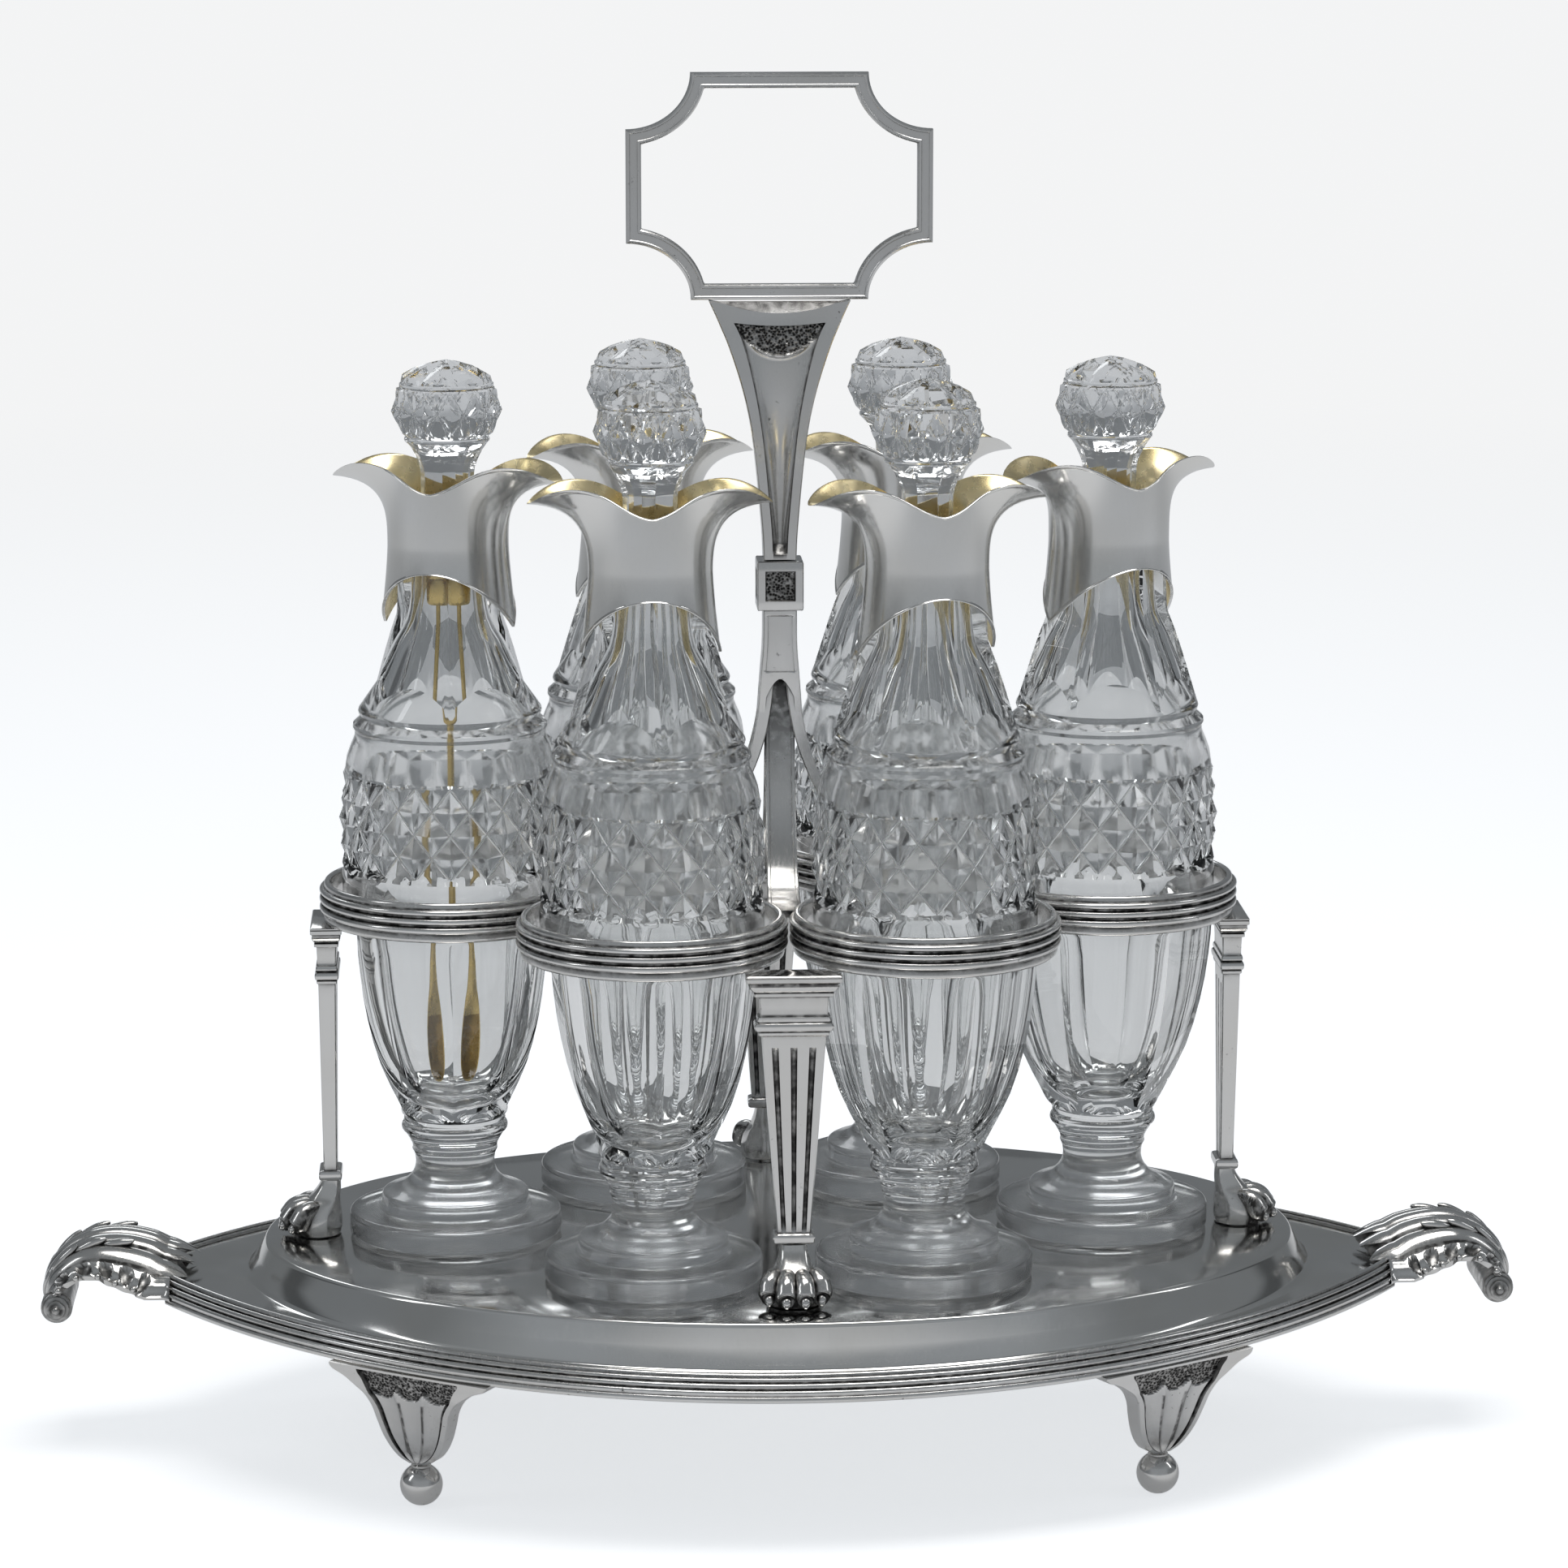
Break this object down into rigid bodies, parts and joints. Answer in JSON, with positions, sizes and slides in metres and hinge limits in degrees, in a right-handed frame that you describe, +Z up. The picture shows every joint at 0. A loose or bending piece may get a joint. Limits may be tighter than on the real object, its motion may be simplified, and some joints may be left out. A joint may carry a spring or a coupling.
{
  "type": "cruet set",
  "caption": "Boat-shaped silver cruet stand on ball feet with a ring frame, central handle and lift-out cut-glass bottles with lipped mounts and stoppers.",
  "frame": {"origin": "on the surface the ball feet rest on, under the middle of the stand", "axes": "+X along the tray towards its right-hand leaf, +Y towards its rear, +Z up through the handle"},
  "size_m": [0.3756, 0.2, 0.3485],
  "materials": {
    "silver": "polished silver with dark oxidation in the recesses",
    "cut_glass": "clear lead crystal, diamond and flute cut",
    "silver_gilt": "pale gold gilding on silver"
  },
  "bodies": {
    "stand": {"tray": "silver", "front_rim": "silver", "rear_rim": "silver", "left_leaf_handle": "silver", "right_leaf_handle": "silver", "foot_front_left": "silver", "foot_front_right": "silver", "foot_rear_left": "silver", "foot_rear_right": "silver", "foot_ball_front_left": "silver", "foot_ball_front_right": "silver", "foot_ball_rear_left": "silver", "foot_ball_rear_right": "silver", "leg_front": "silver", "leg_right": "silver", "leg_rear": "silver", "leg_left": "silver", "paw_front": "silver", "paw_right": "silver", "paw_rear": "silver", "paw_left": "silver", "nut_front": "silver", "nut_right": "silver", "nut_rear": "silver", "nut_left": "silver", "column": "silver", "column_boss": "silver", "handle_bracket": "silver", "handle_frame": "silver", "ring_left": "silver", "ring_front_left": "silver", "ring_front_right": "silver", "ring_right": "silver", "ring_rear_left": "silver", "ring_rear_right": "silver"},
    "left_bottle": {"bottle_left": "cut_glass", "mount_left": "silver"},
    "left_stopper": {"stopper_left": "cut_glass", "spoon_ferrule": "silver_gilt", "spoon": "silver_gilt"},
    "front_left_bottle": {"bottle_front_left": "cut_glass", "mount_front_left": "silver"},
    "front_left_stopper": {"stopper_front_left": "cut_glass"},
    "front_right_bottle": {"bottle_front_right": "cut_glass", "mount_front_right": "silver"},
    "front_right_stopper": {"stopper_front_right": "cut_glass"},
    "right_bottle": {"bottle_right": "cut_glass", "mount_right": "silver"},
    "right_stopper": {"stopper_right": "cut_glass"},
    "rear_left_bottle": {"bottle_rear_left": "cut_glass", "mount_rear_left": "silver"},
    "rear_left_stopper": {"stopper_rear_left": "cut_glass"},
    "rear_right_bottle": {"bottle_rear_right": "cut_glass", "mount_rear_right": "silver"},
    "rear_right_stopper": {"stopper_rear_right": "cut_glass"}
  },
  "joints": [
    {"name": "left_bottle_lift", "type": "slide", "parent": "stand", "child": "left_bottle", "axis": [0, 0, 1], "range_m": [0, 0.1]},
    {"name": "left_stopper_lift", "type": "slide", "parent": "left_bottle", "child": "left_stopper", "axis": [0, 0, 1], "range_m": [0, 0.155]},
    {"name": "front_left_bottle_lift", "type": "slide", "parent": "stand", "child": "front_left_bottle", "axis": [0, 0, 1], "range_m": [0, 0.1]},
    {"name": "front_left_stopper_lift", "type": "slide", "parent": "front_left_bottle", "child": "front_left_stopper", "axis": [0, 0, 1], "range_m": [0, 0.02]},
    {"name": "front_right_bottle_lift", "type": "slide", "parent": "stand", "child": "front_right_bottle", "axis": [0, 0, 1], "range_m": [0, 0.1]},
    {"name": "front_right_stopper_lift", "type": "slide", "parent": "front_right_bottle", "child": "front_right_stopper", "axis": [0, 0, 1], "range_m": [0, 0.02]},
    {"name": "right_bottle_lift", "type": "slide", "parent": "stand", "child": "right_bottle", "axis": [0, 0, 1], "range_m": [0, 0.1]},
    {"name": "right_stopper_lift", "type": "slide", "parent": "right_bottle", "child": "right_stopper", "axis": [0, 0, 1], "range_m": [0, 0.02]},
    {"name": "rear_left_bottle_lift", "type": "slide", "parent": "stand", "child": "rear_left_bottle", "axis": [0, 0, 1], "range_m": [0, 0.1]},
    {"name": "rear_left_stopper_lift", "type": "slide", "parent": "rear_left_bottle", "child": "rear_left_stopper", "axis": [0, 0, 1], "range_m": [0, 0.02]},
    {"name": "rear_right_bottle_lift", "type": "slide", "parent": "stand", "child": "rear_right_bottle", "axis": [0, 0, 1], "range_m": [0, 0.1]},
    {"name": "rear_right_stopper_lift", "type": "slide", "parent": "rear_right_bottle", "child": "rear_right_stopper", "axis": [0, 0, 1], "range_m": [0, 0.02]}
  ]
}
